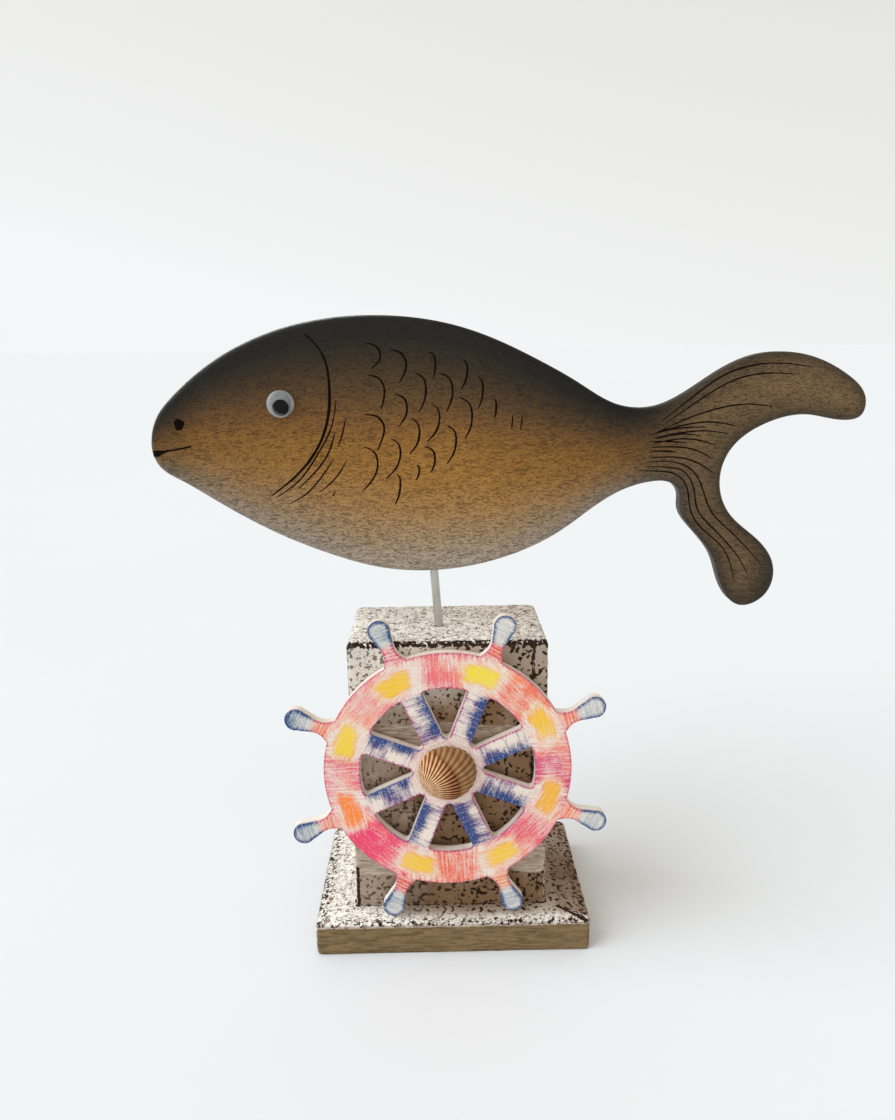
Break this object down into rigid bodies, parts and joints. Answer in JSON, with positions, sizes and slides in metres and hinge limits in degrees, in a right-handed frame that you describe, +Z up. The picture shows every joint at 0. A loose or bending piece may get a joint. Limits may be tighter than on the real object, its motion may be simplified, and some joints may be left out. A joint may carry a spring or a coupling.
{
  "type": "fish ornament on stand",
  "caption": "Flat wooden fish on a thin metal rod above a painted timber stand, with a small ship's wheel and a cockle shell on the stand's front.",
  "frame": {"origin": "centre of the base plate's underside", "axes": "+X along the fish towards its tail, -Y towards the viewer, the side with the wheel, +Z up"},
  "size_m": [0.2448, 0.0749, 0.2257],
  "materials": {
    "distressed_paint_base": "cream paint, crackled and rubbed back to dark wood, bare front edge",
    "distressed_paint_post": "cream paint, crackled and rubbed back to dark wood",
    "zinc_screw": "zinc plated",
    "satin_steel_rod": "satin",
    "stained_fish": "airbrushed stain, satin varnish, inked lines",
    "white_eye": "smooth white",
    "clear_dome": "clear polished plastic",
    "black_pupil": "smooth black",
    "crayoned_wheel": "raw plywood coloured by crayon and pencil",
    "clear_glue": "set adhesive",
    "cockle": "natural shell, ribbed, satin"
  },
  "bodies": {
    "ornament": {"base_plate": "distressed_paint_base", "post": "distressed_paint_post", "post_screws": "zinc_screw", "support_rod": "satin_steel_rod", "fish_body": "stained_fish", "eye_backing": "white_eye", "eye_dome": "clear_dome", "ships_wheel": "crayoned_wheel", "wheel_glue": "clear_glue", "cockle_shell": "cockle", "shell_glue": "clear_glue"},
    "pupil": {"eye_pupil": "black_pupil"}
  },
  "joints": [
    {"name": "pupil_roll", "type": "hinge", "parent": "ornament", "child": "pupil", "pos_m": [-0.0557, -0.0128, 0.1971], "axis": [0, -1, 0], "continuous": true}
  ]
}
